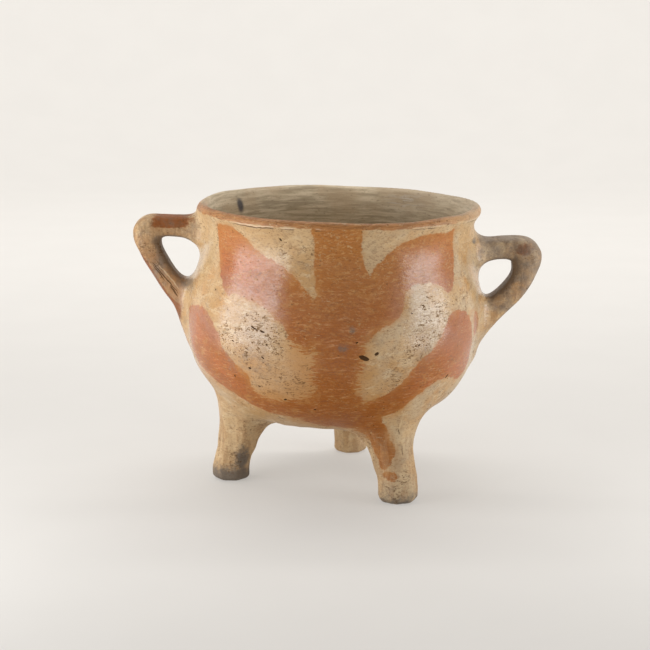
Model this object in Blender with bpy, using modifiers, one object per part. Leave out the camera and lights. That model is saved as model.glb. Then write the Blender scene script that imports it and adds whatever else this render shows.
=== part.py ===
"""A small three-legged olla of hand-built earthenware, in metres, +Z up.

The bowl is turned as a true round pot with its handles and feet, and is then settled: its upper part stands a
little to one side and its rim slopes, as the hand-built pot's does. Everything is one fired piece of clay.
"""

import math

import bmesh
import bpy
from mathutils import Vector

# Bowl. Radii are from its upright axis to the outer face, heights are above the floor.
BOWL_UNDERSIDE = 0.0345
BELLY_RADIUS = 0.0832
BELLY_HEIGHT = 0.1015
BELLY_FULLNESS = 2.60  # the exponent of the curve under the belly: 2 is an ellipse, more is squarer
RIM_RADIUS = 0.0797
RIM_HEIGHT = 0.1588  # top of the lip
RIM_FLARE = 0.0047  # how far the rim stands out past the neck
NECK_DROP = 0.0155  # how far the neck is below the rim
WALL = 0.0054
BASE_THICKNESS = 0.0070
NECK_RADIUS = RIM_RADIUS - RIM_FLARE
NECK_HEIGHT = RIM_HEIGHT - NECK_DROP

# How the hand-built bowl differs from a true one. Below SETTLE_FROM it is true.
SETTLE_FROM = 0.075
RIM_SHIFT = 0.0033  # towards +X
RIM_DROP_RIGHT = 0.00105  # how far the slope takes the rim's height down at +X and up at -X
RIM_DROP_FRONT = 0.00095  # the same at -Y and +Y

# Handles, one at -X and one at +X. A handle runs out level from its root, bends down at its corner, bends inwards
# at its knee and runs down onto the belly. All four points are on its centreline and hang from the rim. A corner and
# a knee are given as (distance out from the rim, distance down from the rim).
HANDLE_WIDTH = 0.0158
HANDLE_FULLNESS = 2.7  # of its section, as above
ROOT_FLARE = 0.90  # how much thicker it is where it joins the bowl
ROOT_FLARE_LENGTH = 0.014
ROOT_SPREAD = 0.25  # how much wider it is there
CORNER_SWELL = 0.07  # how much thicker it is at its corner
CORNER_SWELL_LENGTH = 0.018
ROOT_RUN = 0.021  # how far down the bowl its lower end is drawn
ROOT_DEPTH_SHARE = 0.8  # of its thickness, how deep that end lies in the bowl

LEFT_THICKNESS = 0.0111
LEFT_ROOT_DROP = 0.0141  # down from the rim
LEFT_CORNER = (0.0322, 0.0138)
LEFT_CORNER_RADIUS = 0.0070
LEFT_KNEE = (0.0261, 0.0273)
LEFT_KNEE_RADIUS = 0.0250
LEFT_LOWER_DROP = 0.0593  # where its line meets the bowl's face again

RIGHT_THICKNESS = 0.0127
RIGHT_ROOT_DROP = 0.0254
RIGHT_CORNER = (0.0299, 0.0238)
RIGHT_CORNER_RADIUS = 0.0080
RIGHT_KNEE = (0.0284, 0.0406)
RIGHT_KNEE_RADIUS = 0.0180
RIGHT_LOWER_DROP = 0.0684

# Feet: where round the bowl each one stands, in degrees from +X, and how far in from the belly the middle of its
# sole is.
FEET = ((183.2, 0.0243), (-53.8, 0.0224), (78.9, 0.0257))
FOOT_RADIUS = 0.0103
FOOT_SPLAY = 0.19  # how far a foot leans outwards for each metre of its height
SOLE_ROUNDING = 0.0030
FLARE_FROM = 0.0090  # the height at which a foot starts to widen towards the bowl
FLARE = 0.0155  # how much wider a foot is where it meets the bowl
FLARE_SINK = 0.0010  # how far its widest ring is sunk into the bowl's face

# Fineness of the faceted solid
BOWL_STEPS = 64
OUTER_POINTS = 24
INNER_POINTS = 17
LIP_POINTS = 6
HANDLE_SPACING = 0.0038
HANDLE_SECTION_POINTS = 16
FOOT_STEPS = 24
FLARE_POINTS = 8
DENSE = 240

CLAY_COLOUR = (0.60, 0.39, 0.22, 1.0)
MERGE = 1e-5


def clear_scene():
    for thing in list(bpy.data.objects):
        bpy.data.objects.remove(thing)


def new_collection(name, hidden=False):
    made = bpy.data.collections.new(name)
    made.hide_render = hidden
    bpy.context.scene.collection.children.link(made)
    return made


def smooth_step(share):
    share = min(1.0, max(0.0, share))
    return share * share * (3 - 2 * share)


def evenly(points, count):
    """A polyline drawn again with this many points, the same distance apart along it."""
    lengths = [0.0]
    for here, there in zip(points, points[1:]):
        lengths.append(lengths[-1] + math.dist(here, there))
    made, at = [], 0
    for step in range(count):
        wanted = lengths[-1] * step / (count - 1)
        while at < len(points) - 2 and lengths[at + 1] < wanted:
            at += 1
        span = lengths[at + 1] - lengths[at]
        share = (wanted - lengths[at]) / span if span else 0.0
        made.append(tuple(a + (b - a) * share for a, b in zip(points[at], points[at + 1])))
    return made


def outer_curve():
    """The bowl's outer face as (radius, height), from the middle of its underside to the lip."""
    depth = BELLY_HEIGHT - BOWL_UNDERSIDE
    lip_height = RIM_HEIGHT - WALL / 2
    curve = []
    for step in range(DENSE):
        turn = math.pi / 2 * step / DENSE
        radius = BELLY_RADIUS * math.sin(turn) ** (2 / BELLY_FULLNESS)
        height = BELLY_HEIGHT - depth * math.cos(turn) ** (2 / BELLY_FULLNESS)
        curve.append((radius, height))
    for step in range(DENSE):
        share = step / DENSE
        radius = NECK_RADIUS + (BELLY_RADIUS - NECK_RADIUS) * (1 + math.cos(math.pi * share)) / 2
        curve.append((radius, BELLY_HEIGHT + (NECK_HEIGHT - BELLY_HEIGHT) * share))
    for step in range(DENSE + 1):
        share = step / DENSE
        radius = NECK_RADIUS + (RIM_RADIUS - NECK_RADIUS) * share**2
        curve.append((radius, NECK_HEIGHT + (lip_height - NECK_HEIGHT) * share))
    return curve


def inside(curve, depth_share):
    """The outer curve moved into the clay, by this share of the thickness there. At the lip it moves level."""
    moved = []
    for step, (radius, height) in enumerate(curve):
        before = curve[max(0, step - 1)]
        after = curve[min(len(curve) - 1, step + 1)]
        along = Vector((after[0] - before[0], after[1] - before[1])).normalized()
        along = along.lerp(Vector((0.0, 1.0)), smooth_step((height - NECK_HEIGHT) / (curve[-1][1] - NECK_HEIGHT)))
        thickness = WALL + (BASE_THICKNESS - WALL) * smooth_step(1 - radius / BELLY_RADIUS)
        inwards = Vector((-along.y, along.x)).normalized() * thickness * depth_share
        moved.append((max(0.0, radius + inwards.x), height + inwards.y))
    moved[0] = (0.0, moved[0][1])
    return moved


def outer_radius(height):
    """The bowl's outer radius at a height, for placing a handle."""
    return min(outer_curve(), key=lambda point: abs(point[1] - height))[0]


def underside_height(radius):
    """The height of the bowl's outer face at a radius, below the belly, for placing a foot."""
    depth = BELLY_HEIGHT - BOWL_UNDERSIDE
    return BELLY_HEIGHT - depth * (1 - (radius / BELLY_RADIUS) ** BELLY_FULLNESS) ** (1 / BELLY_FULLNESS)


def shell_section():
    """The section of the bowl's wall: up the inner face, over the round lip and down the outer face."""
    outer = outer_curve()
    inner = inside(outer, 1.0)
    middle = RIM_RADIUS - WALL / 2
    lip = []
    for step in range(1, LIP_POINTS):
        turn = math.pi * (1 - step / LIP_POINTS)
        lip.append((middle + WALL / 2 * math.cos(turn), outer[-1][1] + WALL / 2 * math.sin(turn)))
    return evenly(inner, INNER_POINTS) + lip + evenly(outer, OUTER_POINTS)[::-1]


def core_section():
    """The section of all that lies inside the middle of the wall, open sky above the rim included."""
    middle = inside(outer_curve(), 0.5)
    above = RIM_HEIGHT + WALL
    return [(0.0, above), (middle[-1][0], above)] + evenly(middle, OUTER_POINTS)[::-1]


def turned(name, section, steps, collection):
    """A solid turned from a section that starts and ends on the axis and runs down its outer side."""
    mesh = bpy.data.meshes.new(name)
    points = [(radius, 0.0, height) for radius, height in section]
    mesh.from_pydata(points, [(n, n + 1) for n in range(len(points) - 1)], [])
    made = bpy.data.objects.new(name, mesh)
    collection.objects.link(made)
    screw = made.modifiers.new("turn", "SCREW")
    screw.axis = "Z"
    screw.steps = screw.render_steps = steps
    screw.use_merge_vertices = True
    screw.merge_threshold = MERGE
    screw.use_smooth_shade = True
    return made


def handle_section(name, thickness, collection):
    """The closed outline of a handle cut across, as a curve that another curve takes as its bevel."""
    curve = bpy.data.curves.new(name, "CURVE")
    curve.dimensions = "2D"
    spline = curve.splines.new("POLY")
    spline.points.add(HANDLE_SECTION_POINTS - 1)
    spline.use_cyclic_u = True
    for step, point in enumerate(spline.points):
        turn = 2 * math.pi * step / HANDLE_SECTION_POINTS
        cosine, sine = math.cos(turn), math.sin(turn)
        x = math.copysign(abs(cosine) ** (2 / HANDLE_FULLNESS), cosine) * HANDLE_WIDTH / 2
        y = math.copysign(abs(sine) ** (2 / HANDLE_FULLNESS), sine) * thickness / 2
        point.co = (x, y, 0.0, 1.0)
    made = bpy.data.objects.new(name, curve)
    made.hide_render = True
    collection.objects.link(made)
    return made


def rounded(corners, radii):
    """The line through these corners with an arc of its own radius at each corner between the ends."""
    line = [tuple(corners[0])]
    for before, corner, after, radius in zip(corners, corners[1:], corners[2:], radii):
        back = (before - corner).normalized()
        ahead = (after - corner).normalized()
        half_angle = back.angle(ahead) / 2
        centre = corner + (back + ahead).normalized() * radius / math.sin(half_angle)
        first = corner + back * radius / math.tan(half_angle) - centre
        last = corner + ahead * radius / math.tan(half_angle) - centre
        for step in range(DENSE + 1):
            point = centre + first.lerp(last, step / DENSE).normalized() * radius
            line.append(tuple(point))
    line.append(tuple(corners[-1]))
    return line


def root_share(reach, height):
    """How far a handle's root has flared at this distance from the axis and height: 1 on the bowl's face."""
    clear = max(0.0, reach - outer_radius(height))
    return max(0.0, 1 - clear / ROOT_FLARE_LENGTH) ** 2


def growth(reach, height, corner_reach):
    """How much thicker than its straight stretch a handle is here, as a share."""
    swell = smooth_step((reach - corner_reach + CORNER_SWELL_LENGTH) / CORNER_SWELL_LENGTH)
    return ROOT_FLARE * root_share(reach, height) + CORNER_SWELL * swell


def placed(out_and_down):
    """A handle's corner or knee as (distance from the axis, height)."""
    out, down = out_and_down
    return Vector((RIM_RADIUS + out, RIM_HEIGHT - down))


def handle_line(thickness, root_drop, corner, corner_radius, knee, knee_radius, lower_drop):
    """A handle's line as (distance from the axis, height, size), from inside the wall back to inside it.

    Where it grows in size it moves towards the opening, so that its outer side runs on straight.
    """
    start = Vector((NECK_RADIUS - 3 * WALL, RIM_HEIGHT - root_drop))
    lower_height = RIM_HEIGHT - lower_drop
    lower = Vector((outer_radius(lower_height), lower_height))
    end_height = lower_height - ROOT_RUN
    end = Vector((outer_radius(end_height) - ROOT_DEPTH_SHARE * thickness, end_height))
    corners = [start, placed(corner), placed(knee), lower, end]
    whole = rounded(corners, [corner_radius, knee_radius, ROOT_RUN / 2])
    length = sum(math.dist(here, there) for here, there in zip(whole, whole[1:]))
    line = evenly(whole, round(length / HANDLE_SPACING))
    grown = []
    for step, (reach, height) in enumerate(line):
        before = line[max(0, step - 1)]
        after = line[min(len(line) - 1, step + 1)]
        along = Vector((after[0] - before[0], after[1] - before[1])).normalized()
        extra = growth(reach, height, placed(corner).x)
        inwards = Vector((along.y, -along.x)) * extra * thickness / 2
        grown.append((reach + inwards.x, height + inwards.y, 1 + extra))
    return grown


def meshed(thing, collection):
    """A mesh object in the place of a curve, with its caps welded."""
    bpy.context.view_layer.update()
    graph = bpy.context.evaluated_depsgraph_get()
    mesh = bpy.data.meshes.new_from_object(thing.evaluated_get(graph))
    edit = bmesh.new()
    edit.from_mesh(mesh)
    bmesh.ops.remove_doubles(edit, verts=edit.verts, dist=MERGE)
    bmesh.ops.recalc_face_normals(edit, faces=edit.faces)
    edit.to_mesh(mesh)
    edit.free()
    made = bpy.data.objects.new(thing.name + "_solid", mesh)
    made.matrix_world = thing.matrix_world
    collection.objects.link(made)
    bpy.data.objects.remove(thing)
    return made


def handle(name, side, thickness, corner, line, collection):
    """A handle swept along its centreline, on the side of the bowl that side (-1 or 1) names."""
    section = handle_section(name + "_section", thickness, collection)
    curve = bpy.data.curves.new(name, "CURVE")
    curve.dimensions = "3D"
    curve.bevel_mode = "OBJECT"
    curve.bevel_object = section
    curve.use_fill_caps = True
    spline = curve.splines.new("POLY")
    spline.points.add(len(line) - 1)
    for point, (reach, height, size) in zip(spline.points, line):
        point.co = (side * reach, 0.0, height, 1.0)
        point.radius = size
    made = bpy.data.objects.new(name, curve)
    collection.objects.link(made)
    solid = meshed(made, collection)
    bpy.data.objects.remove(section)
    for vertex in solid.data.vertices:
        reach, height = abs(vertex.co.x), vertex.co.z
        spread = 1 + ROOT_SPREAD * root_share(reach, height)
        vertex.co.y *= spread / (1 + growth(reach, height, placed(corner).x))
    return solid


def foot_section():
    """A foot turned upright under a level bowl at BOWL_UNDERSIDE, into which it runs on."""
    rise = BOWL_UNDERSIDE - FLARE_FROM
    section = [(0.0, BOWL_UNDERSIDE + 2 * BASE_THICKNESS), (FOOT_RADIUS, BOWL_UNDERSIDE + 2 * BASE_THICKNESS)]
    section.append((FOOT_RADIUS + FLARE, BOWL_UNDERSIDE + 2 * FLARE_SINK))
    for step in range(FLARE_POINTS):
        turn = math.pi / 2 * (1 - step / FLARE_POINTS)
        share = math.sin(turn)
        section.append((FOOT_RADIUS + FLARE * (1 - math.cos(turn)), FLARE_FROM + (rise + FLARE_SINK) * share))
    section.append((FOOT_RADIUS, FLARE_FROM))
    sole_points = 3
    for step in range(sole_points + 1):
        turn = math.pi / 2 * step / sole_points
        radius = FOOT_RADIUS - SOLE_ROUNDING * (1 - math.cos(turn))
        section.append((radius, SOLE_ROUNDING * (1 - math.sin(turn))))
    section.append((0.0, 0.0))
    return section


def foot(name, degrees, circle, collection):
    """A foot at its place round the bowl, leaning outwards, and drawn up to meet the bowl's round underside."""
    upright = turned(name, foot_section(), FOOT_STEPS, collection)
    made = meshed(upright, collection)
    outwards = Vector((math.cos(math.radians(degrees)), math.sin(math.radians(degrees)), 0.0))
    for vertex in made.data.vertices:
        share = max(0.0, (vertex.co.z - FLARE_FROM) / (BOWL_UNDERSIDE - FLARE_FROM))
        vertex.co += outwards * (circle - FOOT_SPLAY * vertex.co.z * (1 + share / 2))
        higher = underside_height(vertex.co.xy.length) - BOWL_UNDERSIDE
        vertex.co.z += higher * min(1.0, share)
    return made


def with_boolean(thing, other, operation):
    cut = thing.modifiers.new(operation.lower() + "_" + other.name, "BOOLEAN")
    cut.operation = operation
    cut.object = other
    cut.solver = "EXACT"
    other.hide_render = True
    other.display_type = "WIRE"


def settle(point):
    """Where a point of the true pot is on the hand-built one."""
    share = smooth_step((point.z - SETTLE_FROM) / (RIM_HEIGHT - SETTLE_FROM))
    slope = RIM_DROP_RIGHT * point.x / RIM_RADIUS - RIM_DROP_FRONT * point.y / RIM_RADIUS
    return Vector((point.x + RIM_SHIFT * share, point.y, point.z - slope * share))


def clay():
    material = bpy.data.materials.new("fired_clay")
    material.use_nodes = True
    shader = material.node_tree.nodes["Principled BSDF"]
    shader.inputs["Base Color"].default_value = CLAY_COLOUR
    shader.inputs["Roughness"].default_value = 0.55
    shader.inputs["Metallic"].default_value = 0.0
    return material


def middle_of(mesh):
    """The middle of the mesh's footprint, as the X and Y to take away so that it stands over the origin."""
    xs = [vertex.co.x for vertex in mesh.vertices]
    ys = [vertex.co.y for vertex in mesh.vertices]
    return Vector(((min(xs) + max(xs)) / 2, (min(ys) + max(ys)) / 2, 0.0))


def build():
    clear_scene()
    parts = new_collection("tripod_olla")
    helpers = new_collection("helpers", hidden=True)

    pot = turned("pot", shell_section(), BOWL_STEPS, helpers)
    core = turned("core", core_section(), BOWL_STEPS, helpers)
    left_line = handle_line(
        LEFT_THICKNESS,
        LEFT_ROOT_DROP,
        LEFT_CORNER,
        LEFT_CORNER_RADIUS,
        LEFT_KNEE,
        LEFT_KNEE_RADIUS,
        LEFT_LOWER_DROP,
    )
    right_line = handle_line(
        RIGHT_THICKNESS,
        RIGHT_ROOT_DROP,
        RIGHT_CORNER,
        RIGHT_CORNER_RADIUS,
        RIGHT_KNEE,
        RIGHT_KNEE_RADIUS,
        RIGHT_LOWER_DROP,
    )
    joined = [
        handle("left_handle", -1, LEFT_THICKNESS, LEFT_CORNER, left_line, helpers),
        handle("right_handle", 1, RIGHT_THICKNESS, RIGHT_CORNER, right_line, helpers),
    ]
    for number, (degrees, inset) in enumerate(FEET, start=1):
        joined.append(foot(f"foot_{number}", degrees, BELLY_RADIUS - inset, helpers))
    for piece in joined:
        with_boolean(piece, core, "DIFFERENCE")
        with_boolean(pot, piece, "UNION")

    olla = meshed(pot, parts)
    olla.name = "olla"
    for vertex in olla.data.vertices:
        vertex.co = settle(vertex.co)
    middle = middle_of(olla.data)
    for vertex in olla.data.vertices:
        vertex.co -= middle
    olla.data.shade_smooth()
    olla.data.set_sharp_from_angle(angle=math.radians(35))
    olla.data.materials.clear()
    olla.data.materials.append(clay())


build()
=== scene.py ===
"""The looks of a small three-legged olla: hand-built earthenware, painted with orange slip and burnished.

The clay is one closed mesh. A field gives the distance from the clay's face to any point: a turned wall, to
which the handles and feet are joined with soft fillets on the outside only. The face is meshed from that
field, evened out, and then given the small unevenness of a pot made by hand. What is painted, sooted or
worn where is worked out for each point of the mesh, and the material reads it.
"""

import math

import bpy
import numpy as np
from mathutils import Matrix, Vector


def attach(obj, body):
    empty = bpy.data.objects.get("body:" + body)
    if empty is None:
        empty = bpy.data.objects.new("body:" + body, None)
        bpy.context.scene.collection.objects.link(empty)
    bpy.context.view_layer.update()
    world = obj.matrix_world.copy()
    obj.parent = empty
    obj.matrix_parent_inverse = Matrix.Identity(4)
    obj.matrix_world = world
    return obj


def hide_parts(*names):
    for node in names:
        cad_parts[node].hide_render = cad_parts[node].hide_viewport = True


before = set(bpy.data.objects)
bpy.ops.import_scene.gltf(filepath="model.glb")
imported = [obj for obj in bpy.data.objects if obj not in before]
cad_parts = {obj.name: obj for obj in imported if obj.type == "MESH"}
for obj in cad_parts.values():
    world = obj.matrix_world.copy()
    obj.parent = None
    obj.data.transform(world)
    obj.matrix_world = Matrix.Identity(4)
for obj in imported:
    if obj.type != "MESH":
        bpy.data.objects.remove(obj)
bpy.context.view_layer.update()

MM = 0.001

# The bowl, in mm. Radii are from its axis to the outer face, heights are above the floor.
AXIS_X = -3.46  # the foot of the bowl's axis, in the model's frame
BOWL_UNDERSIDE = 34.5
BELLY_RADIUS = 83.2
BELLY_HEIGHT = 101.5
BELLY_FULLNESS = 2.6
NECK_RADIUS = 75.0
NECK_HEIGHT = 143.3
RIM_RADIUS = 79.7
RIM_HEIGHT = 158.8
WALL = 5.4
BASE_THICKNESS = 7.0

# How the hand-built pot leans and slopes, above SETTLE_FROM
SETTLE_FROM = 75.0
RIM_SHIFT = 3.3
RIM_DROP_RIGHT = 1.05
RIM_DROP_FRONT = 0.95

# Handles: (distance from the axis, height, thickness) along the centreline, as an arm and a limb
HANDLE_WIDTH = 15.6
HANDLE_HALF = 5.5  # half the thickness at which a handle has that width
HANDLE_ROUNDING = 0.66  # of half its thickness
LEFT_ARM = [
    (68, 142.2, 17), (79, 143.2, 13.4), (86, 144.6, 11.8), (93, 145.1, 11.4), (99, 145.3, 11.6),
    (104, 144.4, 12.4), (107.3, 141.4, 13.2),
]
LEFT_LIMB = [
    (107.3, 141.4, 13.0), (107.0, 137.0, 12.6), (103.7, 129.3, 11.8), (97.8, 120.2, 11.7),
    (91.8, 112.0, 11.9), (85.8, 104.4, 12.0), (80.4, 96.0, 12.0), (76, 87, 10),
]
RIGHT_ARM = [
    (68, 132.4, 19), (79, 133.0, 14.4), (88, 133.9, 12.4), (95, 134.5, 12.4), (100.6, 134.7, 12.6),
    (104.6, 133.4, 13.4), (106.8, 130.0, 14.2),
]
RIGHT_LIMB = [
    (106.8, 130.0, 14.2), (107.0, 125.0, 14.0), (104.9, 117.0, 12.8), (100.0, 109.2, 12.0),
    (92.0, 100.6, 12.0), (85.2, 92.6, 11.6), (80.0, 84.5, 10.5), (76, 77, 8.5),
]
HANDLE_FILLET = 11.0
CORNER_FILLET = 6.0

# Feet: (degrees round the axis from +X, then (height, distance from the axis, radius) up the foot)
LEFT_FOOT = [
    (0, 58.4, 10.4), (3, 58.6, 10.7), (7, 58.6, 10.6), (10, 58.0, 10.4), (14, 57.0, 10.5),
    (18.5, 55.0, 11.1), (23, 54.0, 11.4), (28, 52.6, 12.2), (44, 49.5, 14),
]
FRONT_FOOT = [
    (0, 60.0, 10.6), (3, 60.2, 11.0), (7, 60.2, 10.8), (10, 59.8, 10.7), (14, 58.9, 10.8),
    (18.5, 56.6, 11.3), (23, 55.4, 11.7), (28, 54.0, 12.2), (33, 53, 12.7), (44, 51, 14),
]
BACK_FOOT = [
    (0, 57.0, 10.0), (3, 57.0, 10.0), (7, 56.9, 9.6), (12, 56.4, 9.6), (18, 55.4, 10.0),
    (26, 54.2, 10.6), (44, 52, 12),
]
FEET = [(183.2, LEFT_FOOT), (-53.8, FRONT_FOOT), (78.9, BACK_FOOT)]
SOLE_ROUNDING = 3.2
FOOT_RIDGES = 0.07  # how far the knife-cut ridges up a foot stand out, as a share of its radius
FOOT_RIDGE_COUNT = 7
FOOT_RIDGE_CREST = 0.36
FOOT_RIDGE_TWIST = 0.03  # in radians a mm
FOOT_FILLET = 18.0

# Where the hand-built wall bulges or is flattened: (degrees from +X, height, degrees and mm that it spreads
# over, mm outwards)
SWELLS = [(180, 56, 32, 10, -2.5), (2, 79, 30, 9, -1.5), (-14, 50, 34, 9, 1.6), (180, 157, 26, 8, -0.9)]

# Lumps left by the hands, in mm: (size, height on the handles and feet, height on the bowl)
BIG_LUMPS = (26, 0.30, 0.16)
SMALL_LUMPS = (11, 0.18, 0.10)
# Ridges wiped round the bowl, and flutes up the feet, in mm: (size, height)
WIPED_RIDGES = (5.0, 0.06)
FOOT_FLUTES = (8.0, 0.4)

# Slip painting, as closed outlines of (degrees from the front, positive to the right, height on the bowl)
COLUMN = [
    (-9.6, 160), (-9.6, 137), (-8.2, 118), (-7.7, 90), (-8.5, 66), (-13.3, 55), (-15.6, 46), (4.8, 42),
    (21.7, 46), (12.7, 60), (9.7, 72), (10.6, 84), (12.2, 98), (15.5, 102), (16.1, 118), (12.3, 130.5),
    (10.5, 136), (9, 141), (7.2, 160),
]
LEFT_BAND = [
    (-60, 150), (-50, 153), (-43.6, 149), (-38.4, 144.3), (-32, 139.7), (-22.3, 134.4), (-18.5, 130.5),
    (-13.7, 125), (-9.3, 120), (-4, 108), (-7.8, 90), (-11.7, 91), (-16.3, 95), (-18.8, 103),
    (-22.7, 107.6), (-28.7, 113.5), (-34.3, 115.3), (-42.4, 117.8), (-45, 116.2), (-48.3, 118.3),
    (-52, 123), (-58, 133.5),
]
LEFT_CRESCENT = [
    (-77, 101.8), (-69, 106), (-62, 107), (-56.3, 105), (-53.5, 102), (-51, 98.5), (-47.3, 94),
    (-46.3, 88), (-42, 83), (-38.5, 78.7), (-34, 74), (-34, 68.8), (-31, 63), (-24, 61.8), (-14.5, 63.3),
    (-7.4, 65), (-4, 49), (-15, 48.3), (-23, 50), (-32.3, 52.3), (-40, 56), (-45.6, 59.6), (-52, 63.3),
    (-59.4, 67.8), (-67, 71.7), (-71, 76), (-75, 84),
]
RIGHT_BAND = [
    (12.3, 130.5), (15.8, 137), (20.4, 142), (24.8, 146.6), (32.4, 150), (41, 151.2), (49.5, 150.8),
    (53, 152), (55.6, 137), (53, 123.5), (48.3, 118), (42.2, 123.2), (36, 124.5), (28.9, 123.3),
    (26.4, 119.4), (26, 115.3), (23.9, 108.3), (18.9, 104), (15.4, 101), (11.9, 97), (4, 103), (4, 123),
]
RIGHT_CRESCENT = [
    (12.4, 60.2), (19.5, 63.4), (24, 67.3), (27.5, 72), (31, 77.8), (34.2, 83.4), (40, 88.3), (43, 94.4),
    (45, 99), (47.5, 105.5), (53, 107.6), (59.5, 104.5), (64, 99), (67, 91), (73, 77), (71, 69.5),
    (64, 65), (55, 68.5), (48, 69.5), (42, 66.8), (35, 60.2), (29.4, 54), (21.2, 50), (11.4, 47),
]
SIDE_STRIPE = [(67.5, 104), (74, 99), (76.5, 92), (71.5, 88), (68, 94)]
PAINTED_FRONT = [COLUMN, LEFT_BAND, LEFT_CRESCENT, RIGHT_BAND, RIGHT_CRESCENT, SIDE_STRIPE]
BACK_COLUMN = [
    (-10, 160), (-9, 130), (-9, 90), (-12, 60), (-14, 46), (0, 42), (14, 46), (11, 62), (9.5, 95),
    (9, 130), (10, 160),
]
BACK_BAND = [
    (8, 124), (15, 132), (24, 142), (34, 149), (46, 152), (56, 150), (57, 136), (53, 122), (45, 119),
    (36, 122), (30, 116), (24, 107), (16, 100), (8, 94),
]
BACK_CRESCENT = [
    (8, 62), (20, 64), (30, 72), (38, 82), (45, 94), (50, 104), (58, 107), (68, 102), (72, 90), (68, 76),
    (56, 64), (40, 55), (24, 50), (8, 47),
]
PAINT_RADIUS = 80  # at which degrees round the bowl are turned into mm
UNPAINTED = -40.0  # mm inside the slip, where there is none near
# Slip that ran down the front foot, as brush strokes of (x, height, half width) in mm
FOOT_DRIP = [
    [(18, 48, 8.5), (25, 37.6, 5.6), (28.2, 29, 5.6), (28.2, 24.4, 3.6), (27.6, 21, 1.6)],
    [(29.2, 16.6, 2.2), (32.2, 16.0, 2.6)],
]
# Dabs of orange slip: ((x, y, height), (how far it reaches in x, y and height), how strong)
ORANGE_DABS = [((104.2, -8, 135), (8.5, 10, 6), 0.88), ((-41.4, -65.2, 129.5), (2.6, 6, 1.3), 1.3)]
# Smoke and soot from the fire, in the same form; two of the smoke spots are painted shade in the corner
# under the left handle
SMOKE_AND_SHADE_SPOTS = [
    ((78, -2, 128), (14, 16, 15), 0.85),
    ((92, 0, 142), (22, 14, 6), 1.0),
    ((106, -6, 134), (9, 12, 8), 1.0),
    # painted shade: these two darken the corner where the left limb meets the belly
    ((-81, -6, 113), (9, 14, 6), 1.0),
    ((-84, 0, 100), (10, 14, 10), 0.45),
    ((88, 0, 96), (12, 14, 10), 0.65),
    ((20, -75, 95), (9, 12, 9), 0.35),
    ((48, -66, 86), (10, 12, 8), 0.22),
    ((34, -50, 8), (16, 16, 26), 0.28),
    ((-46, -66, 82), (22, 30, 13), 0.36),
    ((11, 56, 6), (14, 14, 20), 0.25),
]
SOOT = [
    ((-57, -5, 0), (30, 30, 14), 1.4),
    ((-51.5, -14, 13), (7, 12, 13), 1.1),
    ((36, -50, -4), (30, 30, 16), 1.15),
    ((4.8, -83, 92.9), (6, 8, 3.2), 0.80),
    ((9.0, -83, 102.4), (3, 8, 4.2), 0.68),
    ((75.0, -10, 139.7), (3.2, 8, 4.5), 0.9),
]
LEFT_LIMB_SMOKE = ((-99, -6, 124), (6, 12, 14))
# Where the skin is torn and pitted, in the same form
PITTED = [
    ((-40, -72, 97), (17, 30, 17), 1.0),
    ((50, -66, 97), (17, 30, 24), 0.85),
    ((36, -60, 8), (20, 20, 26), 0.5),
    ((-20, -76, 72), (26, 30, 14), 0.45),
]
SMUDGE_INSIDE = ((-57.3, 41.5, 151), (4.0, 4.5, 7.5))
WORN_INSIDE = ((40, 62, 152), (16, 30, 6))
# Chips that show the dark clay: (degrees from the front, height, length, width, slope in degrees)
CHIPS = [
    (10.9, 87.4, 3.1, 1.25, -22), (15.7, 89.2, 1.2, 0.85, 25), (51.9, 70.2, 1.7, 0.6, 50),
    (-53.9, 117.6, 0.6, 0.5, 0), (-23.9, 148.6, 0.6, 1.0, 30), (-30.9, 101.3, 2.6, 0.45, -25),
    (-27.3, 100.2, 1.6, 0.5, -15), (-25.3, 93, 0.8, 0.4, 0), (-20.0, 62.5, 0.9, 0.7, 30),
    (-33.0, 79.0, 0.9, 0.7, 0), (-41.5, 73.0, 0.5, 0.8, 0), (8.0, 96.0, 0.7, 0.4, 20),
    (-27.0, 86.0, 1.1, 0.4, -30), (29.0, 110.0, 0.7, 0.35, 0), (33.0, 92.0, 0.9, 0.4, 10),
    (-8.0, 56.5, 0.8, 0.5, 15),
]
CHIP_REACH = 4  # how deep a chip's oval reaches, in mm
# Grooves and cracks on handles and feet: (place, slope in degrees, half length, half width, pale or not)
GROOVES = [
    ((-96.0, -8, 117.0), -50, 12.0, 0.35, False),
    ((-94.3, -8, 118.0), -50, 10.0, 0.40, True),
    ((-99.6, -8, 119.5), -53, 6.0, 0.30, False),
    ((-90.6, -8, 109.5), -58, 4.0, 0.45, False),
    ((35.4, -57, 41.0), -78, 2.0, 0.22, False),
    ((37.6, -56, 30.0), -84, 3.0, 0.22, False),
    ((36.4, -57, 45.5), 80, 3.0, 0.50, True),
]
GROOVE_REACH = 6
FEATHERED_LOW = ((-26, -66, 63), (28, 40, 9))  # where the slip's edge is feathered, low on the left
SLIP_ON_LIP = 3.2  # how far down from the top of the lip its slip reaches on the outside, in mm
SLIP_IN_LIP = 1.5

# Base colours
CREAM = (0.5, 0.33, 0.165)
CREAM_BROWN = (0.43, 0.245, 0.095)
CREAM_WARM = (0.47, 0.245, 0.09)
CREAM_PALE = (0.58, 0.43, 0.255)
CREAM_TAN = (0.43, 0.225, 0.09)
CREAM_GREY = (0.45, 0.355, 0.235)
CREAM_TORN = (0.325, 0.218, 0.135)
CREAM_DIRTY = (0.33, 0.215, 0.115)
CREAM_GRAIN = (0.26, 0.15, 0.075)
ORANGE = (0.39, 0.108, 0.022)
ORANGE_BROWN = (0.3, 0.092, 0.012)
ORANGE_YELLOW = (0.41, 0.185, 0.05)
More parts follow.
